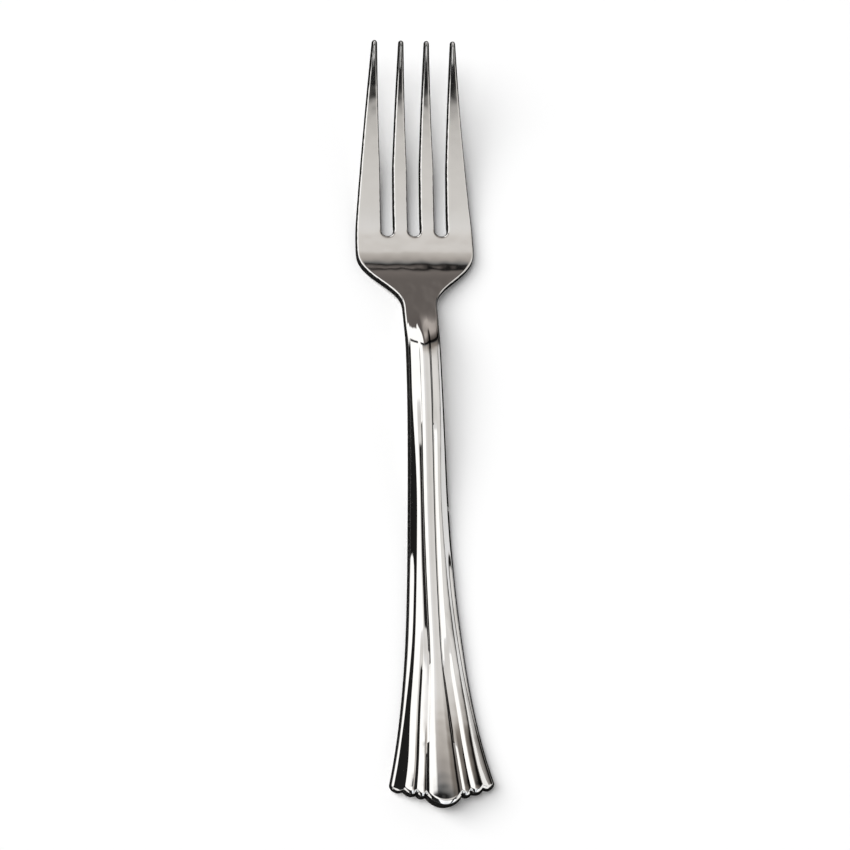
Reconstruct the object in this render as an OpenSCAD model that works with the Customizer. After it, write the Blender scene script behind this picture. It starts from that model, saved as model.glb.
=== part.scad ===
// Dinner fork, moulded in one piece and mirror-coated, with four tines and a fluted handle.
// Millimetres. +Y runs from the handle to the tine tips, +Z is up, and the back rests on Z = 0.

/* [Overall] */
// Length from the end of the handle to the tine tips
fork_length = 178; // [170:1:190]

/* [Head] */
// Width across the shoulders, the widest place of the head
head_width = 27.7; // [25:0.1:30]
// Distance from the shoulders up to the bottoms of the slots
palm_length = 3.4; // [2.5:0.1:6]
// Distance from the top of the neck up to the shoulders
shoulder_length = 15.4; // [12:0.1:18]
// Length over which the shoulders turn into the straight sides of the head
shoulder_blend = 7.6; // [5:0.1:10]
// Distance from the tine tips down to the bottoms of the slots
tine_length = 44.1; // [40:0.1:48]
// Width of each slot where its sides are parallel
slot_width = 2.85; // [2.4:0.05:3.2]
// Distance between the middles of neighbouring slots
slot_pitch = 6.3; // [6:0.05:6.5]
// Distance from the tine tips down to where the slots start to widen
taper_length = 28; // [24:1:36]
// Distance between the middles of the two outer tine tips
tip_span = 18.4; // [17:0.1:19.5]
// Distance between the middles of the two inner tine tips
inner_tip_span = 6; // [5.6:0.1:6.4]
// Width of a tine tip
tip_width = 1.25; // [1.1:0.05:1.5]

/* [Handle] */
// Width of the neck, the narrowest place
neck_width = 8.1; // [7:0.1:9]
// Width across the two corners at the end of the handle
end_width = 23.6; // [20:0.1:25]
// Length over which the flare of the handle dies away, to 37 percent of what it was
flare_length = 32; // [26:1:40]
// Distance that the end of the middle flute reaches past its creases
centre_lobe_reach = 2.6; // [2:0.1:3.2]
// Distance that the end of each side flute reaches past its creases
rib_lobe_reach = 0.65; // [0.4:0.05:0.9]
// Distance from the end of the handle to its two corners
corner_setback = 5.7; // [4.5:0.1:7]
// Width of the middle flute along the upper part of the handle
centre_flute_width = 3.3; // [2.8:0.1:4]
// Width of the middle flute at the end of the handle
centre_flute_end_width = 8.8; // [7.5:0.1:10]
// Distance from the end of the handle at which each side flute splits in two
flute_split_length = 40; // [32:1:48]
// Length over which the middle flute starts to widen
flute_split_blend = 10; // [6:1:16]
// Length below the crest of the neck over which the flutes fade out
flute_fade = 14; // [8:0.5:18]

/* [Profile] */
// Height of the back under the crest of the neck
neck_rise = 4; // [3:0.1:6]
// Height of the back under the tine tips
tip_rise = 13; // [10:0.1:16]
// Height of the back under the end of the handle
end_rise = 2.4; // [1:0.1:3.5]
// Length of the ramp from the crest of the neck down to the heel of the head
ramp_length = 24.4; // [20:0.1:28]
// Distance from the bottoms of the slots down to the heel
heel_setback = 4; // [3:0.5:6]
// Length of the head's back that lies flat on the table
head_land = 2.5; // [2:0.5:4]
// Angle at which the head leaves the table, in degrees
head_tilt = 9; // [5:0.5:11]
// Length over which the head turns up from the table
head_blend = 7; // [5:0.5:12]
// Length of the handle's back that lies flat on the table
handle_land = 16; // [10:0.5:20]
// Length of the handle's end that curls up from the table
curl_length = 28; // [20:1:34]
// Length over which the hollow in the handle's back deepens
hollow_run = 16; // [10:0.5:24]

/* [Thickness] */
// Thickness of the handle along its sides
handle_edge_thickness = 1.4; // [1.2:0.1:2]
// Thickness of the neck along its sides
neck_edge_thickness = 2.6; // [1.8:0.1:3.2]
// Thickness of the head
head_thickness = 2.5; // [1.6:0.1:3]
// Thickness of the tine tips
tip_thickness = 1.2; // [1:0.05:1.5]
// Height that the front of the handle bulges above its sides
handle_crown = 0.4; // [0.2:0.1:1]
// Height that the front falls in front of the scalloped end
end_fall = 0.8; // [0.4:0.1:1]
// Height that the front of the neck bulges above its sides
neck_crown = 0.9; // [0.4:0.1:1.4]
// Depth of the hollow in the handle's back
back_hollow = 1.2; // [0:0.1:1.6]
// Radius of all the edges
edge_radius = 0.5; // [0.3:0.05:0.5]

/* [Mirror films] */
// Thickness of the lacquer and metal film
film_thickness = 0.03; // [0.02:0.005:0.05]

/* [Gate scar] */
// Distance from the crest of the neck down to the middle of the scar
gate_setback = 37; // [30:1:44]
// Length of the scar along the edge
gate_length = 1; // [0.6:0.1:1.6]
// Depth of the scar into the edge
gate_depth = 0.25; // [0.1:0.05:0.35]

/* [Hidden] */

// Share of the half width at which the outer crease runs, and share of the way out to it of the middle one
outer_crease_share = 0.8;
middle_crease_share = 0.46;
// Heights of the middle flute and of a side flute, as shares of half their widths
centre_height_share = 0.2;
rib_height_share = 0.43;
// Fall of the sloping outer flute as a share of its width, and the share of it that is a straight slope
outer_fall_share = 0.6;
straight_fall_share = 0.6;
// Shares of the handle's rise, and of the ramp, that are spent starting and stopping
rise_blend_shares = [0.5, 0.3];
ramp_blend_shares = [0.2, 0.22];
// Most that an edge radius takes up, as a share of the thinnest wall
edge_limit_share = 0.42;
edge_r = min(edge_radius, edge_limit_share * tip_thickness, edge_limit_share * tip_width);

// Lengths over which the scalloped end straightens out, the slots do so, and the front falls to the end
end_blend = 2.5 * corner_setback;
slot_blend = 2 * slot_width;
fall_length = end_blend / 2;

// Places along the fork, measured from the end of the handle
slot_bottom = fork_length - tine_length;
root = slot_bottom + slot_width / 2;
taper_start = fork_length - taper_length;
shoulder_top = slot_bottom - palm_length;
shoulder_bottom = shoulder_top - shoulder_length;
heel = slot_bottom - heel_setback;
head_land_top = heel + head_land;
handle_land_top = curl_length + handle_land;
crest = heel - ramp_length;
flute_start = crest - flute_fade;
gate_low = crest - gate_setback - gate_length / 2;
gate_high = gate_low + gate_length;

// Number of facets across each flute, across a tine, round the bottom of a slot and along a tine
lobe_columns = [3, 3, 4, 8, 4, 3, 3];
lobe_starts = [0, 3, 6, 10, 18, 22, 25];
centre_lobe = 3;
columns = 28;
tine_count = 4;
tine_columns = 4;
slot_columns = 4;
tine_rows = 8;
tine_step = tine_columns + slot_columns;

function lerp(a, b, t) = a + (b - a) * t;
function progress(s, from, to) = min(1, max(0, (s - from) / (to - from)));
function eased(s, from, to) =
    let (t = progress(s, from, to))
    t * t * t * (t * (6 * t - 15) + 10);
function bent(d, blend) = d <= 0 ? 0 : d < blend ? d * d / (2 * blend) : d - blend / 2;
// Climb from 0 to 1 that gathers speed, runs straight and slows down
function climb(t, shares) =
    let (top = 1 / (1 - shares[0] / 2 - shares[1] / 2))
    t < shares[0] ? top * t * t / (2 * shares[0])
    : t < 1 - shares[1] ? top * (t - shares[0] / 2)
    : 1 - top * (1 - t) * (1 - t) / (2 * shares[1]);
function steps(from, to, count) = [for (k = [0:count - 1]) lerp(from, to, k / count)];

// Half of the width at a place along the fork
function flare(s) = max(0, exp(-s / flare_length) - exp(-crest / flare_length));
function handle_half(s) =
    (neck_width + (end_width - neck_width) * flare(max(s, corner_setback)) / flare(corner_setback)) / 2;
function head_half(s) =
    let (drop = bent(s - shoulder_top, shoulder_blend) / bent(fork_length - shoulder_top, shoulder_blend))
    lerp(head_width, tip_span + tip_width, drop) / 2;
function half_width(s) =
    s < shoulder_top ? lerp(handle_half(s), head_width / 2, eased(s, shoulder_bottom, shoulder_top))
    : head_half(s);

// Left and right edge of each tine
function slot_taper(s) = progress(s, taper_start, fork_length);
function inner_near(s) = lerp(slot_width, inner_tip_span - tip_width, slot_taper(s)) / 2;
function inner_far(s) = lerp(2 * slot_pitch - slot_width, inner_tip_span + tip_width, slot_taper(s)) / 2;
function outer_near(s) = lerp(2 * slot_pitch + slot_width, tip_span - tip_width, slot_taper(s)) / 2;
function tine_edges(tine, s) =
    tine == 0 ? [-half_width(s), -outer_near(s)]
    : tine == 1 ? [-inner_far(s), -inner_near(s)]
    : tine == 2 ? [inner_near(s), inner_far(s)]
    : [outer_near(s), half_width(s)];
function tine_x(tine, column, s) =
    let (edges = tine_edges(tine, s))
    lerp(edges[0] + edge_r, edges[1] - edge_r, column / tine_columns);

// Heights along the middle, and what is added across the width
function tilted(d) = tan(head_tilt) * bent(d, head_blend);
function head_rise(d) =
    let (span = fork_length - head_land_top)
    tilted(d) + (tip_rise - tilted(span)) * pow(d / span, 2);
function spine(s) =
    s < curl_length ? end_rise * pow(1 - progress(s, 0, curl_length), 2)
    : s < crest ? neck_rise * climb(progress(s, handle_land_top, crest), rise_blend_shares)
    : s < head_land_top ? neck_rise * (1 - climb(progress(s, crest, heel), ramp_blend_shares))
    : head_rise(s - head_land_top);
function edge_thickness(s) =
    s < crest ? lerp(handle_edge_thickness, neck_edge_thickness, eased(s, curl_length, crest))
    : s < slot_bottom ? lerp(neck_edge_thickness, head_thickness, eased(s, crest, heel))
    : lerp(head_thickness, tip_thickness, progress(s, slot_bottom, fork_length));
function crown(s) =
    s < crest ? lerp(handle_crown, neck_crown, eased(s, curl_length, crest))
    : neck_crown * (1 - eased(s, crest, heel));
function hollow(s) =
    back_hollow * eased(s, handle_land_top, handle_land_top + hollow_run)
    * (1 - eased(s, flute_start - hollow_run, flute_start));
function back_height(s, across) = spine(s) + hollow(s) * (1 - across * across);
function front_height(s, across, flute) =
    spine(s) + edge_thickness(s) + crown(s) * (1 - across * across) + flute;

// Flutes of the handle: where their creases run, and how far each column is across its flute
function flat_half(s) = half_width(s) - edge_r;
function centre_half(s) =
    let (
        whole = bent(flute_split_length, flute_split_blend),
        spread = bent(flute_split_length - s, flute_split_blend) / whole
    )
    lerp(centre_flute_width, centre_flute_end_width, spread) / 2;
function crease_shares(s) =
    let (
        outer = outer_crease_share,
        inner = min(centre_half(s) / flat_half(s), outer),
        middle = lerp(inner, outer, middle_crease_share)
    )
    [-1, -outer, -middle, -inner, inner, middle, outer, 1];
function lobe_of(i) = max(0, len([for (start = lobe_starts) if (start < i) start]) - 1);
function lobe_progress(i) = (i - lobe_starts[lobe_of(i)]) / lobe_columns[lobe_of(i)];
function handle_share(i, s) =
    let (creases = crease_shares(s), lobe = lobe_of(i))
    lerp(creases[lobe], creases[lobe + 1], lobe_progress(i));

// Heights of the flutes: a swelling middle one, side ones that split in two, and sloping outer ones
function swell(t) = 1 - pow(2 * t - 1, 2);
function rib(s, from, to, share) =
    rib_height_share * flat_half(s) * abs(to - from) / 2 * swell(progress(share, from, to));
function side_flutes(i, s) =
    let (creases = crease_shares(s), lobe = lobe_of(i), share = abs(handle_share(i, s)))
    lerp(
        rib(s, abs(creases[lobe]), abs(creases[lobe + 1]), share),
        rib(s, creases[centre_lobe + 1], outer_crease_share, share),
        eased(s, 0, flute_split_length)
    );
function outer_fall(share) =
    let (t = progress(share, outer_crease_share, 1))
    1 - lerp(t * t, t, straight_fall_share);
function flute_height(i, s) =
    let (
        lobe = lobe_of(i),
        base = outer_fall_share * (1 - outer_crease_share) * flat_half(s),
        swelling = lobe == centre_lobe ? centre_height_share * centre_half(s) * swell(lobe_progress(i))
            : lobe == 0 || lobe == 2 * centre_lobe ? 0
            : side_flutes(i, s)
    )
    (base * outer_fall(abs(handle_share(i, s))) + swelling) * (1 - eased(s, flute_start, crest));
function end_edge(i) =
    let (
        inner = crease_shares(0)[centre_lobe + 1],
        chord = lerp(centre_lobe_reach, corner_setback, progress(abs(handle_share(i, 0)), inner, 1)),
        reach = lobe_of(i) == centre_lobe ? centre_lobe_reach : rib_lobe_reach
    )
    chord - reach * swell(lobe_progress(i)) + edge_r;

// Bottoms of the slots: half circles, a little larger than the slots by the radius of the edges
slot_r = slot_width / 2 + edge_r;
function slot_angle(i) = 180 * max(0, i % tine_step - tine_columns) / slot_columns;
function slot_dip(i) = slot_r * sin(slot_angle(i));
function root_x(i) =
    let (tine = floor(i / tine_step), column = i % tine_step)
    column <= tine_columns ? tine_x(tine, column, root)
    : (tine + 1 - tine_count / 2) * slot_pitch - slot_r * cos(slot_angle(i));
function root_share(i) = root_x(i) / flat_half(root);

// Plan of the flat part of each face, inside the rounded edges: x, s, share across and flute height
stations_below_gate = concat(
    steps(0, end_blend, 6),
    steps(end_blend, curl_length, 2),
    steps(curl_length, handle_land_top, 2),
    steps(handle_land_top, gate_low, 3)
);
gate_station = len(stations_below_gate);
stations = concat(
    stations_below_gate,
    [gate_low],
    steps(gate_high, flute_start, 2),
    steps(flute_start, crest, 4),
    steps(crest, heel, 10),
    [heel],
    steps(head_land_top, root, 2),
    [root]
);
rows = len(stations);
function along(i, station) =
    station + end_edge(i) * max(0, 1 - station / end_blend)
    - slot_dip(i) * max(0, station - root + slot_blend) / slot_blend;
function strip_point(i, station) =
    let (
        s = along(i, station),
        share = lerp(handle_share(i, s), root_share(i), eased(s, crest, shoulder_top)),
        fall = end_fall * pow(1 - progress(station, 0, fall_length), 2)
    )
    [share * flat_half(s), s, share, flute_height(i, s) - fall];
function tine_point(tine, row, column) =
    let (s = lerp(root, fork_length - edge_r, row / tine_rows))
    [tine_x(tine, column, s), s, 1, 0];
plan = concat(
    [for (station = stations) for (i = [0:columns]) strip_point(i, station)],
    [for (tine = [0:tine_count - 1]) for (row = [1:tine_rows]) for (column = [0:tine_columns])
        tine_point(tine, row, column)]
);
plan_count = len(plan);
function strip_index(j, i) = j * (columns + 1) + i;
function tine_index(tine, row, column) =
    row == 0 ? strip_index(rows - 1, tine * tine_step + column)
    : strip_index(rows, 0) + (tine * tine_rows + row - 1) * (tine_columns + 1) + column;

// The edge of the plan, counter-clockwise from the left corner of the handle's end
rim = concat(
    [for (i = [0:columns - 1]) strip_index(0, i)],
    [for (j = [0:rows - 2]) strip_index(j, columns)],
    [for (tine = [tine_count - 1:-1:0]) each concat(
        [for (row = [0:tine_rows - 1]) tine_index(tine, row, tine_columns)],
        [for (column = [tine_columns:-1:1]) tine_index(tine, tine_rows, column)],
        [for (row = [tine_rows:-1:1]) tine_index(tine, row, 0)],
        [if (tine > 0) for (k = [0:slot_columns - 1]) strip_index(rows - 1, tine * tine_step - k)]
    )],
    [for (j = [rows - 1:-1:1]) strip_index(j, 0)]
);
rim_count = len(rim);
function rim_plan(b) = let (p = plan[rim[(b + rim_count) % rim_count]]) [p[0], p[1]];
function side_normal(b) = let (d = rim_plan(b + 1) - rim_plan(b)) [d[1], -d[0]] / norm(d);
rim_normals = [for (b = [0:rim_count - 1])
    let (n = side_normal(b - 1) + side_normal(b)) n / norm(n)];

// Points of the whole skin, sunk below the outside by a depth: front, back, then rows round the edge
function place(x, s, z) = [x, s - fork_length / 2, z];
function edge_point(b, out, z) =
    let (p = rim_plan(b), n = rim_normals[b])
    place(p[0] + n[0] * out, p[1] + n[1] * out, z);
function rim_front(b) = let (p = plan[rim[b]]) front_height(p[1], p[2], p[3]) - edge_r;
function rim_back(b) = let (p = plan[rim[b]]) back_height(p[1], p[2]) + edge_r;
function rim_middle(b) = (rim_front(b) + rim_back(b)) / 2;
function skin(depth) =
    let (r = edge_r - depth, bevel = r * sin(45))
    concat(
        [for (p = plan) place(p[0], p[1], front_height(p[1], p[2], p[3]) - depth)],
        [for (p = plan) place(p[0], p[1], back_height(p[1], p[2]) + depth)],
        [for (b = [0:rim_count - 1]) edge_point(b, bevel, rim_front(b) + bevel)],
        [for (b = [0:rim_count - 1]) edge_point(b, r, rim_front(b))],
        [for (b = [0:rim_count - 1]) edge_point(b, r, rim_middle(b))],
        [for (b = [0:rim_count - 1]) edge_point(b, r, rim_back(b))],
        [for (b = [0:rim_count - 1]) edge_point(b, bevel, rim_back(b) - bevel)]
    );
skin_count = 2 * plan_count + 5 * rim_count;
// Rows round the edge: the front's edge, the bevel, the wall's top, middle and bottom, the bevel, the back
front_row = 0;
wall_top = 2;
parting = 3;
wall_bottom = 4;
back_row = 6;
function row_index(row, b) =
    row == front_row ? rim[b % rim_count]
    : row == back_row ? plan_count + rim[b % rim_count]
    : 2 * plan_count + (row - 1) * rim_count + b % rim_count;

// Faces, as quads that run clockwise seen from outside
front_quads = concat(
    [for (j = [0:rows - 2]) for (i = [0:columns - 1])
        [strip_index(j, i), strip_index(j + 1, i), strip_index(j + 1, i + 1), strip_index(j, i + 1)]],
    [for (tine = [0:tine_count - 1]) for (row = [0:tine_rows - 1]) for (column = [0:tine_columns - 1])
        [tine_index(tine, row, column), tine_index(tine, row + 1, column),
            tine_index(tine, row + 1, column + 1), tine_index(tine, row, column + 1)]]
);
function shifted(quads, by) = [for (q = quads) [for (v = q) v + by]];
function turned(quads) = [for (q = quads) [q[3], q[2], q[1], q[0]]];
function triangles(quads) = [for (q = quads) each [[q[0], q[1], q[2]], [q[0], q[2], q[3]]]];
function strip_between(upper, upper_by, lower, lower_by, b) =
    [row_index(upper, b) + upper_by, row_index(upper, b + 1) + upper_by,
        row_index(lower, b + 1) + lower_by, row_index(lower, b) + lower_by];
function post_between(upper, lower, b, by) =
    [row_index(lower, b), row_index(upper, b), row_index(upper, b) + by, row_index(lower, b) + by];

gate = columns + gate_station;
sound_rim = [for (b = [0:rim_count - 1]) if (b != gate) b];
whole_rim = [0:rim_count - 1];
front_skin = concat(
    front_quads,
    [for (row = [front_row:wall_top - 1]) for (b = whole_rim) strip_between(row, 0, row + 1, 0, b)],
    [for (b = sound_rim) strip_between(wall_top, 0, parting, 0, b)]
);
back_skin = concat(
    turned(shifted(front_quads, plan_count)),
    [for (b = sound_rim) strip_between(parting, 0, wall_bottom, 0, b)],
    [for (row = [wall_bottom:back_row - 1]) for (b = whole_rim) strip_between(row, 0, row + 1, 0, b)]
);
// Edges of the opening that the gate scar leaves in a film, from the outside to the inside
front_gate_edges = [
    strip_between(wall_top, 0, wall_top, skin_count, gate),
    post_between(wall_top, parting, gate, skin_count),
    each turned([post_between(wall_top, parting, gate + 1, skin_count)])
];
back_gate_edges = [
    strip_between(wall_bottom, skin_count, wall_bottom, 0, gate),
    post_between(parting, wall_bottom, gate, skin_count),
    each turned([post_between(parting, wall_bottom, gate + 1, skin_count)])
];
front_film_quads = concat(
    front_skin,
    turned(shifted(front_skin, skin_count)),
    [for (b = sound_rim) strip_between(parting, 0, parting, skin_count, b)],
    front_gate_edges
);
back_film_quads = concat(
    back_skin,
    turned(shifted(back_skin, skin_count)),
    [for (b = sound_rim) strip_between(parting, skin_count, parting, 0, b)],
    back_gate_edges
);

// The pocket of the gate scar in the core: three points on each side, sunk below its wall
pocket = [for (b = [gate, gate + 1]) each [
    edge_point(b, edge_r - film_thickness - gate_depth, rim_front(b)),
    edge_point(b, edge_r - film_thickness - gate_depth, rim_middle(b)),
    edge_point(b, edge_r - film_thickness - gate_depth, rim_back(b))
]];
function pocket_index(side, level) = skin_count + 3 * side + level;
function pocket_floor(level) =
    [pocket_index(0, level), pocket_index(1, level), pocket_index(1, level + 1), pocket_index(0, level + 1)];
function pocket_side(side, level) =
    [row_index(parting + level, gate + side), row_index(wall_top + level, gate + side),
        pocket_index(side, level), pocket_index(side, level + 1)];
pocket_quads = [
    pocket_floor(0),
    pocket_floor(1),
    [row_index(wall_top, gate), row_index(wall_top, gate + 1), pocket_index(1, 0), pocket_index(0, 0)],
    [pocket_index(0, 2), pocket_index(1, 2), row_index(wall_bottom, gate + 1), row_index(wall_bottom, gate)],
    pocket_side(0, 0),
    pocket_side(0, 1),
    each turned([pocket_side(1, 0), pocket_side(1, 1)])
];

module core_moulding() {
    color("gainsboro")
        polyhedron(
            concat(skin(film_thickness), pocket),
            triangles(concat(front_skin, back_skin, pocket_quads))
        );
}

module front_mirror_film() {
    color("silver")
        polyhedron(concat(skin(0), skin(film_thickness)), triangles(front_film_quads));
}

module back_mirror_film() {
    color("darkgray")
        polyhedron(concat(skin(0), skin(film_thickness)), triangles(back_film_quads));
}

core_moulding();
front_mirror_film();
back_mirror_film();
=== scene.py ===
import math

import bmesh
import bpy
from mathutils import Matrix, Vector


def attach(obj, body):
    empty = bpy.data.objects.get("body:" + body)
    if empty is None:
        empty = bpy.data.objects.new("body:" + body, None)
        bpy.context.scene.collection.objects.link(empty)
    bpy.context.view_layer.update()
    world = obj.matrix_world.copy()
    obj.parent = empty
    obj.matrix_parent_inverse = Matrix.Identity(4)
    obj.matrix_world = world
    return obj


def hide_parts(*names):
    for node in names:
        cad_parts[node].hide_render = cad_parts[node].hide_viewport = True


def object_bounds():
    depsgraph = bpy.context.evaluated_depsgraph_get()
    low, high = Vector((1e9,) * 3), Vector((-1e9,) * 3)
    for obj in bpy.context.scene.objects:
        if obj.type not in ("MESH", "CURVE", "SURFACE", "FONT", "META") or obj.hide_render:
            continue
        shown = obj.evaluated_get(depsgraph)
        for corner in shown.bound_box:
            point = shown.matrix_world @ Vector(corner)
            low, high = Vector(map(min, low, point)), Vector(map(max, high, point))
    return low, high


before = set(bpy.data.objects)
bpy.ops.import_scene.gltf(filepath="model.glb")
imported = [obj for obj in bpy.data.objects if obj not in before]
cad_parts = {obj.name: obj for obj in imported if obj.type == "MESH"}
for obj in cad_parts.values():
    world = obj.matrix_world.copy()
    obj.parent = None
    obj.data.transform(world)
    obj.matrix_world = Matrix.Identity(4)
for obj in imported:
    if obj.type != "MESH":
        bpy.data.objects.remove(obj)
cadLow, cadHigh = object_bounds()
print("frame loaded:", ", ".join(sorted(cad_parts)))

# Lengths are in millimetres along the fork, from the end of the handle to the tine tips
mm = 0.001

outline = {
    "forkLength": (cadHigh.y - cadLow.y) / mm,
    "headWidth": 27.7,  # across the shoulders
    "palmLength": 3.4,  # shoulders up to the slots
    "shoulderLength": 15.4,  # neck up to the shoulders
    "shoulderBlend": 7.6,
    "tineLength": 44.1,
    "slotWidth": 2.85,
    "slotPitch": 6.3,
    "slotFade": 2.0,  # rows straighten out below the slots, in slot widths
    "taperLength": 28.0,  # tips down to where the slots start to widen
    "tipSpan": 18.4,
    "innerTipSpan": 6.0,
    "tipWidth": 1.25,
    "tipRound": 0.12,
    "neckWidth": 8.1,
    "endWidth": 24.2,  # across the corners of the scalloped end
    "flareLength": 29.5,
    "centreReach": 2.6,  # of the middle scallop beyond the creases beside it
    "ribReach": 0.75,
    "cornerSetback": 4.6,
    "cornerRound": 1.5,
    "endFade": 2.5,  # rows straighten out above the end, in corner setbacks
    "edgeRadius": 0.6,  # flat face to the outline
    "edgeRound": 0.5,
}

bends = {
    "neckRise": 5.2,
    "tipRise": 13.0,
    "endRise": 2.65,
    "rampLength": 24.8,
    "rampBlends": (0.16, 0.33),
    "riseBlends": (0.5, 0.3),
    "heelSetback": 3.8,
    "headLand": 3.8,
    "headTilt": math.radians(9.0),
    "headBlend": 7.0,
    "curlLength": 28.0,
    "handleLand": 16.0,
    "backHollow": 1.2,
    "hollowRun": 16.0,
}

walls = {
    "handleEdge": 1.8,
    "neckEdge": 2.3,
    "head": 2.5,
    "tip": 1.2,
    "tipBlend": 12.0,
    "tineCrown": 0.015,
    "crownRun": 10.0,
    "tipPaintedShade": (18.0, 0.4),  # how far down from the tips the painted wall shade reaches further round the edges, and how much
}

flutes = {
    "centreWidth": 2.9,
    "centreEndWidth": 8.8,
    "splitLength": 38.0,  # below this the centre flute widens
    "splitBlend": 10.0,
    "splitFade": (29.0, 44.0),  # each side pleat is two below this and one above
    "margins": (2.75, 1.3, 0.3),  # outer crease to the edge, at the end, half-way and at the neck
    "marginFades": ((0.0, 28.0), (64.0, 100.0)),
    "middleCrease": 0.42,
    "centreSlopes": (0.64, 0.55),  # of the centre flute at its sides, half-way and at the end
    "centreFade": (20.0, 48.0),
    "centreTurn": (0.8, 0.85),  # where it turns down to its creases, and how steeply
    "rise": 0.51,  # slope of a pleat's inner side
    "riseShares": (0.23, 0.3),  # how wide that is on the inner and the outer pleat
    "singleShares": (0.33, 0.42),  # and on the single one, above the split and at the neck
    "singleFade": (42.0, 62.0),
    "riseFade": (78.0, 98.0),
    "innerGap": (9.5, 19.5, 27.0, 38.0),  # the inner pleat has no crease between these
    "ridgeShare": 0.1,
    "fall": (0.35, 0.39, 0.45),  # slopes of its outer side, at the ridge, near the crease and at the crease
    "fallTurn": 0.74,
    "flank": (0.87, 0.64),  # slopes outside the last crease
    "flankShares": (0.85, 0.42, 1.0),  # of the margin, at the end, half-way and at the neck
    "flankFades": ((10.0, 48.0), (52.0, 66.0)),
    "lands": (0.36, 0.36, 1.05),  # slope of what is left
    "landBlend": 0.06,
    "lifts": (1.75, 0.8),  # of the centre above the edges, at the end and at the neck
    "liftFade": (5.0, 75.0),
    "step": (-3.0, 9.5),  # from the crest, where the flutes run out
    "lip": 1.0,  # rounding of the scalloped end
    "lipTurn": 0.3,
    "lipRows": 1.3,  # how far the closest rows reach, in lips
    "lipSlopes": (0.45, 0.75),
}

edgeRadius = outline["edgeRadius"]
forkLength = outline["forkLength"]
slotBottom = forkLength - outline["tineLength"]
root = slotBottom + outline["slotWidth"] / 2
taperStart = forkLength - outline["taperLength"]
shoulderTop = slotBottom - outline["palmLength"]
shoulderBottom = shoulderTop - outline["shoulderLength"]
heel = slotBottom - bends["heelSetback"]
headLandTop = heel + bends["headLand"]
handleLandTop = bends["curlLength"] + bends["handleLand"]
crest = heel - bends["rampLength"]
endBlend = outline["endFade"] * outline["cornerSetback"]
slotBlend = outline["slotFade"] * outline["slotWidth"]
slotRadius = outline["slotWidth"] / 2 + edgeRadius

gateScar = {"low": crest - 37.5, "high": crest - 36.5, "depth": 0.25, "rim": 0.08}

lobeColumns = [10, 15, 15, 14, 15, 15, 10]
lastLobe = len(lobeColumns) - 1
centreLobe = lastLobe // 2
lobeOfColumn = [(lobe, k / count) for lobe, count in enumerate(lobeColumns) for k in range(count)]
lobeOfColumn.append((lastLobe, 1.0))
columns = len(lobeOfColumn) - 1
tineColumns = 16
slotColumns = (columns - 4 * tineColumns) // 3
tineRows = 48
tineStep = tineColumns + slotColumns


def lerp(a, b, t):
    return a + (b - a) * t


def progress(s, start, stop):
    return min(1.0, max(0.0, (s - start) / (stop - start)))


def eased(s, start, stop):
    t = progress(s, start, stop)
    return t * t * t * (t * (6 * t - 15) + 10)


def bent(d, blend):
    return 0.0 if d <= 0 else d * d / (2 * blend) if d < blend else d - blend / 2


def climb(t, blends):
    top = 1 / (1 - blends[0] / 2 - blends[1] / 2)
    if t < blends[0]:
        return top * t * t / (2 * blends[0])
    if t < 1 - blends[1]:
        return top * (t - blends[0] / 2)
    return 1 - top * (1 - t) ** 2 / (2 * blends[1])


def swell(t):
    return 1 - (2 * t - 1) ** 2


def steps(start, stop, count):
    return [lerp(start, stop, k / count) for k in range(count)]


# Widths

def flare(s):
    return max(0.0, math.exp(-s / outline["flareLength"]) - math.exp(-crest / outline["flareLength"]))


def handleHalf(s):
    spread = flare(max(s, outline["cornerSetback"])) / flare(outline["cornerSetback"])
    return lerp(outline["neckWidth"], outline["endWidth"], spread) / 2


def halfWidth(s):
    if s < shoulderTop:
        return lerp(handleHalf(s), outline["headWidth"] / 2, eased(s, shoulderBottom, shoulderTop))
    blend = outline["shoulderBlend"]
    drop = bent(s - shoulderTop, blend) / bent(forkLength - shoulderTop, blend)
    return lerp(outline["headWidth"], outline["tipSpan"] + outline["tipWidth"], drop) / 2


def flatHalf(s):
    return halfWidth(s) - edgeRadius


def tineSides(tine, s):
    taper = progress(s, taperStart, forkLength)
    tip = outline["tipWidth"]
    innerNear = lerp(outline["slotWidth"], outline["innerTipSpan"] - tip, taper) / 2
    innerFar = lerp(2 * outline["slotPitch"] - outline["slotWidth"], outline["innerTipSpan"] + tip, taper) / 2
    outerNear = lerp(2 * outline["slotPitch"] + outline["slotWidth"], outline["tipSpan"] - tip, taper) / 2
    left, right = (innerNear, innerFar) if tine in (1, 2) else (outerNear, halfWidth(s))
    return (left + edgeRadius, right - edgeRadius) if tine > 1 else (edgeRadius - right, -left - edgeRadius)


# Heights

def headRise(d):
    span = forkLength - headLandTop
    tilted = math.tan(bends["headTilt"])
    rest = bends["tipRise"] - tilted * bent(span, bends["headBlend"])
    return tilted * bent(d, bends["headBlend"]) + rest * (d / span) ** 2


def spine(s):
    if s < bends["curlLength"]:
        return bends["endRise"] * (1 - progress(s, 0, bends["curlLength"])) ** 2
    if s < crest:
        return bends["neckRise"] * climb(progress(s, handleLandTop, crest), bends["riseBlends"])
    if s < headLandTop:
        return bends["neckRise"] * (1 - climb(progress(s, crest, heel), bends["rampBlends"]))
    return headRise(s - headLandTop)


def edgeThickness(s):
    if s < crest:
        return lerp(walls["handleEdge"], walls["neckEdge"], eased(s, bends["curlLength"], crest))
    if s < slotBottom:
        return lerp(walls["neckEdge"], walls["head"], eased(s, crest, heel))
    thinning = bent(s - slotBottom, walls["tipBlend"]) / bent(outline["tineLength"], walls["tipBlend"])
    return lerp(walls["head"], walls["tip"], thinning)


def hollow(s):
    run = bends["hollowRun"]
    start, stop = handleLandTop, flutes["riseFade"][0]
    return bends["backHollow"] * eased(s, start, start + run) * (1 - eased(s, stop - run, stop))


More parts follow.
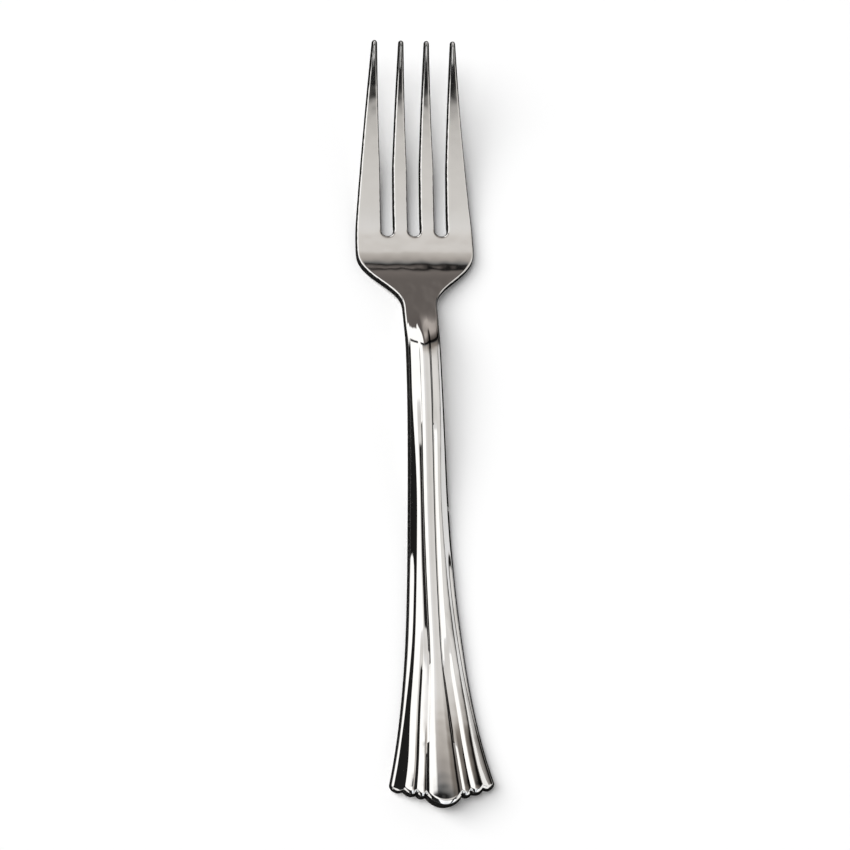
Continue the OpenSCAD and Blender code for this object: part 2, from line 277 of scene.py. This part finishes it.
def backHeight(s, across):
    return spine(s) + hollow(s) * (1 - across * across)


def frontHeight(s, relief):
    return spine(s) + edgeThickness(s) + relief


# Flutes

def centreHalf(s):
    whole = bent(flutes["splitLength"], flutes["splitBlend"])
    spread = bent(flutes["splitLength"] - s, flutes["splitBlend"]) / whole
    return lerp(flutes["centreWidth"], flutes["centreEndWidth"], spread) / 2


def blended(values, fades, s):
    return lerp(lerp(values[0], values[1], eased(s, *fades[0])), values[2], eased(s, *fades[1]))


def creases(s):
    outer = 1 - blended(flutes["margins"], flutes["marginFades"], s) / flatHalf(s)
    inner = min(centreHalf(s) / flatHalf(s), outer)
    middle = lerp(inner, outer, flutes["middleCrease"])
    return [-1.0, -outer, -middle, -inner, inner, middle, outer, 1.0]


def handleShare(i, s):
    lobe, t = lobeOfColumn[i]
    lines = creases(s)
    return lerp(lines[lobe], lines[lobe + 1], t)


def summed(slopes, t):
    total = 0.0
    for (start, low), (stop, high) in zip(slopes, slopes[1:]):
        reach = min(t, stop)
        if reach > start:
            total += (reach - start) * (low + lerp(low, high, (reach - start) / (stop - start))) / 2
    return total


def pleat(s, start, stop, share, top, keep):
    near, mid, far = flutes["fall"]
    rise = lerp(-near, flutes["rise"], keep)
    ridge = top + flutes["ridgeShare"]
    slopes = [(0.0, rise), (top, rise), (ridge, -near), (flutes["fallTurn"], -mid), (1.0, -far)]
    return (stop - start) * flatHalf(s) * summed(slopes, progress(share, start, stop))


def gappedPleat(s, start, stop, share, top, keep):
    lost = pleat(s, start, stop, stop, top, 1.0) - pleat(s, start, stop, stop, top, keep)
    givenBack = lost / 2  # of the height that goes with the crease
    return pleat(s, start, stop, share, top, keep) + givenBack * progress(share, start, stop)


def sideRelief(s, share):
    inner, middle, outer = creases(s)[centreLobe + 1:centreLobe + 4]
    innerTop, outerTop = flutes["riseShares"]
    singleTop = lerp(*flutes["singleShares"], eased(s, *flutes["singleFade"]))
    gap = flutes["innerGap"]
    innerKeep = 1 - eased(s, gap[0], gap[1]) * (1 - eased(s, gap[2], gap[3]))
    double = gappedPleat(s, inner, middle, share, innerTop, innerKeep)
    double += pleat(s, middle, outer, share, outerTop, 1.0)
    single = pleat(s, inner, outer, share, singleTop, 1 - eased(s, *flutes["riseFade"]))
    relief = lerp(double, single, eased(s, *flutes["splitFade"]))
    near, far = flutes["flank"]
    landBlend = flutes["landBlend"]
    bottom = min(1 - landBlend, blended(flutes["flankShares"], flutes["flankFades"], s))
    land = blended(flutes["lands"], flutes["flankFades"], s)
    slopes = [(0.0, near), (bottom, far), (bottom + landBlend, land), (1.0, land)]
    return relief - (1 - outer) * flatHalf(s) * summed(slopes, progress(share, outer, 1))


def reliefHeight(i, s):
    lobe, t = lobeOfColumn[i]
    start, stop = flutes["step"]
    if lobe == centreLobe:
        turn, steep = flutes["centreTurn"]
        side = lerp(flutes["centreSlopes"][1], flutes["centreSlopes"][0], eased(s, *flutes["centreFade"]))
        slopes = [(0.0, 0.0), (turn, turn * side), (1.0, steep)]
        relief = centreHalf(s) * (summed(slopes, 1.0) - summed(slopes, abs(2 * t - 1)))
    else:
        relief = sideRelief(s, abs(handleShare(i, s)))
    lift = lerp(*flutes["lifts"], eased(s, *flutes["liftFade"]))
    return (relief + lift) * (1 - eased(s, crest + start, crest + stop))


# Plan of the flat faces, inside the rounded edges

def endEdge(i):
    lobe, t = lobeOfColumn[i]
    inner = creases(0)[centreLobe + 1]
    outward = progress(abs(handleShare(i, 0)), inner, 1)
    chord = lerp(outline["centreReach"], outline["cornerSetback"], outward)
    if lobe in (0, lastLobe):
        fromEdge = t if lobe == 0 else 1 - t
        return chord - outline["ribReach"] * (1 - fromEdge ** 2) + edgeRadius
    reach = outline["centreReach"] if lobe == centreLobe else outline["ribReach"]
    return chord - reach * swell(t) + edgeRadius


def cornerCut(fromEdge, station):
    size = outline["cornerRound"]
    u, v = 1 - progress(fromEdge, 0, size), 1 - progress(station, 0, size)
    quarter = math.pi / 4
    inset = max(v * (u - math.sin(quarter * u)), u * (1 - math.cos(quarter * v)))
    rise = max(v * (1 - math.cos(quarter * u)), u * (v - math.sin(quarter * v)))
    return size * inset, size * rise


def slotAngle(i):
    return math.pi * max(0, i % tineStep - tineColumns) / slotColumns


def rootX(i):
    tine, column = divmod(i, tineStep)
    if column <= tineColumns:
        return lerp(*tineSides(tine, root), column / tineColumns)
    return (tine - 1) * outline["slotPitch"] - slotRadius * math.cos(slotAngle(i))


rootShares = [rootX(i) / flatHalf(root) for i in range(columns + 1)]
crestBand = (-1.0, 5.0)  # from the crest, where the rows stand closer
lipTop = flutes["lipRows"] * flutes["lip"]
rowBands = [  # where each band of rows starts, and how many it has
    (0, 10),
    (lipTop, 22),
    (endBlend, 34),
    (bends["curlLength"], 10),
    (handleLandTop, 14),
    (gateScar["low"], 4),
    (gateScar["high"], 12),
    (flutes["riseFade"][0], 24),
    (crest + crestBand[0], 18),
    (crest + crestBand[1], 34),
    (heel, 10),
]
bandStops = [start for start, count in rowBands[1:]] + [root]
stations = [s for (start, count), stop in zip(rowBands, bandStops) for s in steps(start, stop, count)]
stations.append(root)


def platePoint(i, j):
    station = stations[j]
    s = station + endEdge(i) * max(0.0, 1 - station / endBlend)
    s -= slotRadius * math.sin(slotAngle(i)) * max(0.0, station - root + slotBlend) / slotBlend
    inset, rise = cornerCut((1 - abs(handleShare(i, s))) * flatHalf(s), station)
    s += rise
    share = lerp(handleShare(i, s), rootShares[i], eased(s, crest, shoulderTop))
    relief = reliefHeight(i, s) if s < crest + flutes["step"][1] else 0.0
    lip = flutes["lip"]
    near, far = flutes["lipSlopes"]
    relief -= lip * summed([(0.0, 0.0), (flutes["lipTurn"], near), (1.0, far)], 1 - progress(station, 0, lip))
    x = share * flatHalf(s) - math.copysign(inset, share)
    return x, s, frontHeight(s, relief), backHeight(s, share)


def tinePoint(tine, column, row):
    s = lerp(root, forkLength - edgeRadius, row / tineRows)
    t = column / tineColumns
    if row == tineRows:
        s -= outline["tipRound"] * (2 * t - 1) ** 2
    x = lerp(*tineSides(tine, s), t)
    relief = walls["tineCrown"] * swell(t) * progress(s, root, root + walls["crownRun"])
    return x, s, frontHeight(s, relief), backHeight(s, 1)


# The blank: one sheet for the handle and palm, one for each tine, welded at the slots

def pressSheet(bm, across, along, place):
    front, back = bm.verts.layers.float["front"], bm.verts.layers.float["back"]
    made = bmesh.ops.create_grid(bm, x_segments=across, y_segments=along, size=0.5)
    for vert in made["verts"]:
        column, row = round((vert.co.x + 0.5) * across), round((vert.co.y + 0.5) * along)
        x, s, vert[front], vert[back] = place(column, row)
        vert.co = (x, s - forkLength / 2, 0)


def forkBlank():
    bm = bmesh.new()
    for name in ("front", "back", "turn", "lean"):
        bm.verts.layers.float.new(name)
    for name in ("foot", "out"):
        bm.verts.layers.float_vector.new(name)
    pressSheet(bm, columns, len(stations) - 1, platePoint)
    for tine in range(4):
        pressSheet(bm, tineColumns, tineRows, lambda column, row: tinePoint(tine, column, row))
    bmesh.ops.remove_doubles(bm, verts=bm.verts, dist=1e-5)
    return bm


# Rounded edges and walls

turnStop = math.radians(75)
turnReaches = (0.2, 0.72, 0.83, 0.91, 0.96, 1.0)  # share of the rounding taken up after each equal turn
turnSteps = len(turnReaches)
wallSteps = 4
wallTurn = 0.999  # at least this on the wall
normalPasses = 6  # of smoothing, round the corners of the outline
leastRun = 0.05
mostLean = 1.1  # of the face where its edge starts, in radians
plainLean = turnStop / 2  # a face that leans more than this gets a plain round


def edgeNormals(bm):
    foot, out = bm.verts.layers.float_vector["foot"], bm.verts.layers.float_vector["out"]
    edges = [edge for edge in bm.edges if edge.is_boundary]
    neighbours = {}
    normals = {}
    for edge in edges:
        a, b = edge.verts
        along = b.co - a.co
        middle = (a.co + b.co) / 2
        normal = Vector((along.y, -along.x, 0)).normalized()
        if normal.dot(edge.link_faces[0].calc_center_median() - middle) > 0:
            normal.negate()
        for vert, other in ((a, b), (b, a)):
            neighbours.setdefault(vert, []).append(other)
            normals[vert] = normals.get(vert, Vector()) + normal
    for smoothing in range(normalPasses):
        units = {vert: normal.normalized() for vert, normal in normals.items()}
        normals = {vert: 2 * units[vert] + units[p] + units[q] for vert, (p, q) in neighbours.items()}
    for vert, normal in normals.items():
        vert[foot], vert[out] = vert.co, normal.normalized()
    return edges


def edgeLeans(bm, height, up):
    lean = bm.verts.layers.float["lean"]
    out = bm.verts.layers.float_vector["out"]
    for vert in bm.verts:
        if vert.is_boundary:
            inner = [edge.other_vert(vert) for edge in vert.link_edges if not edge.is_boundary]
            rises = [up * (other[height] - vert[height]) for other in inner]
            runs = [max(leastRun, (vert.co - other.co).dot(vert[out])) for other in inner]
            steepest = max((rise / run for rise, run in zip(rises, runs)), default=0.0)
            vert[lean] = min(mostLean, max(0.0, math.atan(steepest)))


def rounding(lean, count):
    span = math.sin(turnStop) - math.sin(lean)
    reach = drop = 0.0
    for k in range(count):
        start, stop = (lerp(lean, turnStop, (k + end) / turnSteps) for end in (0, 1))
        plain = (math.sin(stop) - math.sin(start)) / span
        soft = turnReaches[k] - (turnReaches[k - 1] if k else 0.0)
        run = span * lerp(soft, plain, min(1.0, lean / plainLean))
        reach += run
        drop += run * math.tan((start + stop) / 2)
    return reach, drop


def skin(side, depth):
    bm = forkBlank()
    front, back = bm.verts.layers.float["front"], bm.verts.layers.float["back"]
    foot, out = bm.verts.layers.float_vector["foot"], bm.verts.layers.float_vector["out"]
    turn, lean = bm.verts.layers.float["turn"], bm.verts.layers.float["lean"]
    up = 1 if side == "front" else -1
    edges = edgeNormals(bm)
    height = front if side == "front" else back
    edgeLeans(bm, height, up)
    paintedWallShadeReach, paintedWallShadeMore = walls["tipPaintedShade"]
    for vert in bm.verts:
        vert.co.z = vert[height] - up * depth
    for step in range(1, turnSteps + wallSteps + 1):
        made = bmesh.ops.extrude_edge_only(bm, edges=edges)
        edges = [item for item in made["geom"] if isinstance(item, bmesh.types.BMEdge) and item.is_boundary]
        down = max(0, step - turnSteps) / wallSteps
        for vert in {vert for edge in edges for vert in edge.verts}:
            angle = lerp(vert[lean], turnStop, min(1.0, step / turnSteps))
            parting = (vert[front] + vert[back]) / 2
            radius = min(outline["edgeRound"], up * (vert[height] - parting))
            reach, drop = rounding(vert[lean], min(step, turnSteps))
            reach = lerp(radius * reach, edgeRadius, down)
            drop = lerp(radius * drop, up * (vert[height] - parting), down)
            place = vert[foot] + vert[out] * (reach - depth * math.sin(angle))
            place.z = vert[height] - up * (drop + depth * math.cos(angle) * (1 - down))
            vert.co = place
            # near the tips turn is raised, so the painted wall shade starts sooner round the edge
            tipShare = 1 - eased(forkLength / 2 - vert[foot].y, 0, paintedWallShadeReach)
            vert[turn] = (angle - vert[lean]) / (turnStop - vert[lean]) * (1 + paintedWallShadeMore * tipShare)
    if side == "back":
        bmesh.ops.reverse_faces(bm, faces=bm.faces)
    return bm


def gateFaces(bm):
    turn = bm.verts.layers.float["turn"]
    low, high = gateScar["low"] - forkLength / 2, gateScar["high"] - forkLength / 2
    found = []
    for face in bm.faces:
        middle = face.calc_center_median()
        onWall = all(vert[turn] > wallTurn for vert in face.verts)
        if onWall and middle.x > 0 and low < middle.y < high:
            found.append(face)
    return found


def markSharp(bm, angle=math.radians(40)):
    for edge in bm.edges:
        edge.smooth = len(edge.link_faces) == 2 and edge.calc_face_angle(0) < angle


def forkObject(bm, name, material):
    for face in bm.faces:
        face.smooth = True
    markSharp(bm)
    bmesh.ops.scale(bm, vec=(mm, mm, mm), verts=bm.verts)
    mesh = bpy.data.meshes.new(name)
    bm.to_mesh(mesh)
    bm.free()
    mesh.materials.append(material)
    piece = bpy.data.objects.new(name, mesh)
    bpy.context.scene.collection.objects.link(piece)
    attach(piece, "root")
    print("made", name, len(mesh.polygons), "faces")
    return piece


# Materials

def newMaterial(name):
    material = bpy.data.materials.new(name)
    material.use_nodes = True
    nodes, links = material.node_tree.nodes, material.node_tree.links
    return material, nodes, links, nodes["Principled BSDF"]


def addNode(nodes, kind, **settings):
    node = nodes.new(kind)
    for key, value in settings.items():
        if key in node.inputs.keys():
            node.inputs[key].default_value = value
        else:
            setattr(node, key, value)
    return node


coat = {
    "colour": (0.83, 0.815, 0.79, 1),
    "paintedWallShade": (0.01, 0.0097, 0.0095, 1),  # painted shade: a near-black coat down the walls, standing in for the reflection of a dark surround
    # lighter specks within the painted wall shade
    "paintedShadeSpeck": (0.06, 0.058, 0.056, 1),
    "paintedShadeFrom": 0.26,  # how far round the edge the painted wall shade starts, 0 on top and 1 on the wall
    "paintedShadeTo": 0.34,
    "roughness": (0.035, 0.075),
    "wallRoughness": 0.55,
    "ragged": (900.0, 0.03),  # grain of the painted wall shade's edge line, and how far that strays
    "paintedShadeSpecks": (3500.0, 0.64, 0.76),  # grain of the lighter specks in the painted wall shade, and where in it a speck starts and is full
    "clouds": (160.0, 0.96),  # grain, and the colour's level in a cloud
    "polish": 420.0,
    "ripples": (450.0, 130.0),
    "rippleHeight": 0.00004,
    "rippleStrength": 0.4,
}


def mirrorFilm():
    material, nodes, links, shader = newMaterial("mirrorFilm")
    place = addNode(nodes, "ShaderNodeTexCoord").outputs["Object"]
    turn = addNode(nodes, "ShaderNodeAttribute", attribute_name="turn").outputs["Fac"]

    def grain(scale, detail=2.0):
        node = addNode(nodes, "ShaderNodeTexNoise", Scale=scale, Detail=detail)
        links.new(place, node.inputs["Vector"])
        return node.outputs["Fac"]

    def span(source, start, stop, low=0.0, high=1.0):
        node = addNode(nodes, "ShaderNodeMapRange")
        for key, value in (("From Min", start), ("From Max", stop), ("To Min", low), ("To Max", high)):
            node.inputs[key].default_value = value
        links.new(source, node.inputs["Value"])
        return node.outputs[0]

    def blend(factor, a, b):
        node = addNode(nodes, "ShaderNodeMix", data_type="RGBA")
        links.new(factor, node.inputs[0])
        for value, socket in ((a, node.inputs[6]), (b, node.inputs[7])):
            if isinstance(value, tuple):
                socket.default_value = value
            else:
                links.new(value, socket)
        return node.outputs[2]

    def add(a, b):
        node = addNode(nodes, "ShaderNodeMath", operation="ADD")
        links.new(a, node.inputs[0])
        links.new(b, node.inputs[1])
        return node.outputs[0]

    # Painted shade: round the edge and down the walls the film turns near-black, rough and unmetallic,
    # standing in for the reflection of a dark surround.
    fineness, stray = coat["ragged"]
    ragged = span(grain(fineness), 0.3, 0.7, -stray, stray)
    onWall = span(add(turn, ragged), coat["paintedShadeFrom"], coat["paintedShadeTo"])
    fineness, start, full = coat["paintedShadeSpecks"]
    wall = blend(span(grain(fineness, 0.0), start, full), coat["paintedWallShade"], coat["paintedShadeSpeck"])
    fineness, level = coat["clouds"]
    dulled = tuple(level * c for c in coat["colour"][:3]) + (1,)
    cloud = blend(span(grain(fineness), 0.35, 0.7), coat["colour"], dulled)
    links.new(blend(onWall, cloud, wall), shader.inputs["Base Color"])
    polish = span(grain(coat["polish"], 4.0), 0.35, 0.75, *coat["roughness"])
    links.new(add(polish, span(onWall, 0, 1, 0, coat["wallRoughness"])), shader.inputs["Roughness"])
    links.new(span(onWall, 0, 1, 1, 0), shader.inputs["Metallic"])
    bump = addNode(nodes, "ShaderNodeBump", Strength=coat["rippleStrength"], Distance=coat["rippleHeight"])
    fine, broad = (grain(fineness, 0.0) for fineness in coat["ripples"])
    links.new(add(fine, broad), bump.inputs["Height"])
    links.new(bump.outputs[0], shader.inputs["Normal"])
    shader.inputs["Specular IOR Level"].default_value = 0.0
    return material


resin = {
    "colour": (0.44, 0.44, 0.43, 1),
    "streak": (0.38, 0.38, 0.375, 1),
    "roughness": (0.35, 0.5),
    "grain": 600.0,
    "flow": (1.0, 0.15, 1.0),  # draws the streaks out along the fork
}


def corePlastic():
    material, nodes, links, shader = newMaterial("corePlastic")
    place = addNode(nodes, "ShaderNodeTexCoord").outputs["Object"]
    flow = addNode(nodes, "ShaderNodeMapping", Scale=resin["flow"])
    links.new(place, flow.inputs["Vector"])
    cloud = addNode(nodes, "ShaderNodeTexNoise", Scale=resin["grain"], Detail=3.0)
    links.new(flow.outputs[0], cloud.inputs["Vector"])
    tint = addNode(nodes, "ShaderNodeMix", data_type="RGBA")
    links.new(cloud.outputs["Fac"], tint.inputs[0])
    tint.inputs[6].default_value, tint.inputs[7].default_value = resin["colour"], resin["streak"]
    links.new(tint.outputs[2], shader.inputs["Base Color"])
    gloss = addNode(nodes, "ShaderNodeMapRange")
    gloss.inputs["To Min"].default_value, gloss.inputs["To Max"].default_value = resin["roughness"]
    links.new(cloud.outputs["Fac"], gloss.inputs["Value"])
    links.new(gloss.outputs[0], shader.inputs["Roughness"])
    return material


film = {"thickness": 0.03}
mirror = mirrorFilm()
plastic = corePlastic()


def filmPiece(name, side):
    bm = skin(side, 0.0)
    bmesh.ops.delete(bm, geom=gateFaces(bm), context="FACES")
    piece = forkObject(bm, name, mirror)
    shell = piece.modifiers.new("filmThickness", "SOLIDIFY")
    shell.thickness = film["thickness"] * mm
    shell.offset = -1
    return piece


frontFilm = filmPiece("frontFilm", "front")
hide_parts("front_mirror_film")
backFilm = filmPiece("backFilm", "back")
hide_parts("back_mirror_film")


def corePiece():
    bm = skin("front", film["thickness"])
    lower = skin("back", film["thickness"])
    mesh = bpy.data.meshes.new("lowerHalf")
    lower.to_mesh(mesh)
    lower.free()
    bm.from_mesh(mesh)
    bpy.data.meshes.remove(mesh)
    bmesh.ops.remove_doubles(bm, verts=bm.verts, dist=1e-4)
    faces = gateFaces(bm)
    bmesh.ops.inset_region(bm, faces=faces, thickness=gateScar["rim"], depth=-gateScar["depth"])
    piece = forkObject(bm, "coreMoulding", plastic)
    return piece


core = corePiece()
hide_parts("core_moulding")

# Floor

floorSheet = {"size": 3.0, "colour": (0.97, 0.97, 0.97, 1), "roughness": 0.9, "drop": 0.00005}


def makeFloor():
    bm = bmesh.new()
    bmesh.ops.create_grid(bm, x_segments=1, y_segments=1, size=floorSheet["size"])
    bmesh.ops.translate(bm, verts=bm.verts, vec=(0, 0, -floorSheet["drop"]))
    mesh = bpy.data.meshes.new("floor")
    bm.to_mesh(mesh)
    bm.free()
    material, nodes, links, shader = newMaterial("paleFloor")
    shader.inputs["Base Color"].default_value = floorSheet["colour"]
    shader.inputs["Roughness"].default_value = floorSheet["roughness"]
    shader.inputs["Specular IOR Level"].default_value = 0.0
    mesh.materials.append(material)
    floor = bpy.data.objects.new("floor", mesh)
    bpy.context.scene.collection.objects.link(floor)


makeFloor()

# Studio

studio = {  # where each lamp shines from, its strength and its angle
    "highLight": ((-0.35, 0.05, 1.0), 1.23, math.radians(25)),
    "lowLight": ((-1.1, 0.35, 1.0), 1.8, math.radians(40)),
    "fillLight": ((0.0, 0.0, 1.0), 0.93, math.radians(150)),
}


def makeSun(name, place, strength, angle):
    lamp = bpy.data.lights.new(name, "SUN")
    lamp.energy = strength
    lamp.angle = angle
    sun = bpy.data.objects.new(name, lamp)
    sun.rotation_euler = Vector(place).to_track_quat("Z", "Y").to_euler()
    sun.visible_glossy = False
    bpy.context.scene.collection.objects.link(sun)


# Panels that the mirror reflects: stops of (degrees from overhead, level or colour)
panels = {
    "ceiling": [  # along the fork, towards the tines
        (-75, (0.85, 0.9, 0.96)), (-32, (1.05, 1.08, 1.12)), (-20.5, 1.15), (-20.2, 0.02), (-15.7, 0.01),
        (-14.8, (0.3, 0.292, 0.284)), (-13.6, (0.46, 0.45, 0.44)), (-12, (0.57, 0.555, 0.54)),
        (-8, (0.66, 0.645, 0.63)), (-3, (0.7, 0.685, 0.67)), (5, (0.73, 0.72, 0.71)),
        (13, (0.77, 0.76, 0.755)), (17, (0.76, 0.745, 0.73)), (19.5, (0.7, 0.675, 0.655)),
        (21, (0.57, 0.54, 0.515)), (24, (0.48, 0.45, 0.425)), (27, (0.38, 0.355, 0.335)),
        (29.4, 0.2), (30.3, 0.01), (35.8, 0.01), (36.8, (0.19, 0.17, 0.16)), (40, (0.16, 0.142, 0.134)),
        (44, (0.14, 0.125, 0.118)), (60, (0.12, 0.105, 0.1)), (88, 0.08),
    ],
    "fade": [  # of the ceiling, across the fork
        (-44, 0.02), (-36, (1.36, 1.38, 1.42)), (-18, (1.22, 1.24, 1.28)), (-8, (1.13, 1.14, 1.17)),
        (3, 1.06), (14, 1.02), (36, 1.06), (47, 1.13), (54, 1.05), (56.5, 0.6), (58, 0.03),
        (70, 0.02), (72.5, 0.9), (76, (1.15, 1.18, 1.22)), (120, 1.0),
    ],
    # darker corner on the right, towards the tines
    "shade": [(44, (0.48, 0.46, 0.44)), (96, 0.3)],
    "shadeAcross": [(34, 0.0), (44, 1.0), (82, 1.0), (91, 0.0)],
    "shadeAlong": [(14, 0.0), (22, 1.0)],
    "glowAcross": [(14, 0.0), (24, (0.4, 0.37, 0.35)), (45, (0.4, 0.37, 0.35)), (57, 0.0)],
    "glowAlong": [(38, 0.0), (43, 0.2), (50, 0.8), (56, 1.0), (66, 0.5)],
    "postAcross": [(-5, 0.0), (2, 0.17), (11.2, (0.17, 0.15, 0.14)), (12.0, 0.0)],
    "postAlong": [(31.8, 0.0), (32.6, 1.0), (34, 1.0), (34.8, 0.0)],
    "box": [(-90, 0.02), (-52, 0.012), (-49, 1.28), (-16, 1.28)],  # bright, on the left
    "boxAcross": [(-20, 1.0), (-14, 0.0)],
    "boxAlong": [(-17, 0.0), (-13, 1.0), (29.4, 1.0), (30.3, 0.0)],
    # the same box again, further along and lower at the side
    "farAcross": [(-1, 1.0), (3, 0.0)],
    "farAlong": [(35.2, 0.0), (36.2, 1.0), (70, 1.0), (74, 0.0)],
    "sideAcross": [(-34, 1.0), (-28, 0.0)],
    "sideAlong": [(-17, 0.0), (-13, 1.0), (70, 1.0), (74, 0.0)],
}


def setRamp(node, stops):
    ramp = node.color_ramp
    while len(ramp.elements) < len(stops):
        ramp.elements.new(0.5)
    for element, (angle, level) in zip(ramp.elements, stops):
        element.position = (angle + 180) / 360
        element.color = (*level, 1) if isinstance(level, tuple) else (level, level, level, 1)


def makeWorld():
    world = bpy.data.worlds.new("studio")
    bpy.context.scene.world = world
    world.use_nodes = True
    nodes, links = world.node_tree.nodes, world.node_tree.links
    background = nodes["Background"]
    coords = addNode(nodes, "ShaderNodeTexCoord")
    parts = addNode(nodes, "ShaderNodeSeparateXYZ")
    links.new(coords.outputs["Generated"], parts.inputs[0])

    def share(turn):
        node = addNode(nodes, "ShaderNodeMath", operation="MULTIPLY_ADD")
        node.inputs[1].default_value = 0.5 / math.pi
        node.inputs[2].default_value = 0.5
        links.new(turn.outputs[0], node.inputs[0])
        return node.outputs[0]

    def ramp(source, name):
        node = addNode(nodes, "ShaderNodeValToRGB")
        setRamp(node, panels[name])
        links.new(source, node.inputs[0])
        return node.outputs[0]

    def mix(factor, a, b):
        node = addNode(nodes, "ShaderNodeMix", data_type="RGBA")
        links.new(factor, node.inputs[0])
        links.new(a, node.inputs[6])
        links.new(b, node.inputs[7])
        return node.outputs[2]

    def combine(kind, a, b):
        node = addNode(nodes, "ShaderNodeMix", data_type="RGBA", blend_type=kind)
        node.inputs[0].default_value = 1.0
        links.new(a, node.inputs[6])
        links.new(b, node.inputs[7])
        return node.outputs[2]

    def multiply(a, b):
        return combine("MULTIPLY", a, b)

    def add(a, b):
        return combine("ADD", a, b)

    acrossTurn = addNode(nodes, "ShaderNodeMath", operation="ARCTAN2")
    links.new(parts.outputs["X"], acrossTurn.inputs[0])
    links.new(parts.outputs["Z"], acrossTurn.inputs[1])
    alongTurn = addNode(nodes, "ShaderNodeMath", operation="ARCSINE")
    links.new(parts.outputs["Y"], alongTurn.inputs[0])
    across, along = share(acrossTurn), share(alongTurn)

    def patch(name):
        return multiply(ramp(across, name + "Across"), ramp(along, name + "Along"))

    box = ramp(across, "box")
    room = multiply(ramp(along, "ceiling"), ramp(across, "fade"))
    shaded = multiply(room, ramp(across, "shade"))
    overhead = add(add(mix(patch("shade"), room, shaded), patch("glow")), patch("post"))
    for name in ("box", "far", "side"):
        overhead = mix(patch(name), overhead, box)
    links.new(overhead, background.inputs["Color"])
    world.cycles_visibility.diffuse = False  # the lamps light the floor


for lampName, settings in studio.items():
    makeSun(lampName, *settings)
makeWorld()
print("studio lit")

# Camera

view = {
    "target": Vector((0, 0, 4)) * mm,
    "from": Vector((-0.18, -0.28, 1.0)),
    "distance": 0.7,
    "roll": math.radians(-2.83),
    "lens": 130.0,
    "lift": 1.23 * mm,  # how far the target stands above the middle of the picture
}


def makeCamera():
    data = bpy.data.cameras.new("camera")
    data.lens = view["lens"]
    data.sensor_width = 36
    data.clip_start = 0.01
    camera = bpy.data.objects.new("camera", data)
    bpy.context.scene.collection.objects.link(camera)
    back = view["from"].normalized()
    right = Vector((0, 1, 0)).cross(back).normalized()
    up = back.cross(right)
    cos, sin = math.cos(view["roll"]), math.sin(view["roll"])
    right, up = cos * right + sin * up, cos * up - sin * right
    place = view["target"] + back * view["distance"] - up * view["lift"]
    camera.matrix_world = Matrix.Translation(place) @ Matrix((right, up, back)).transposed().to_4x4()
    bpy.context.scene.camera = camera


makeCamera()
bpy.context.scene.view_settings.view_transform = "Standard"

print("scene done")
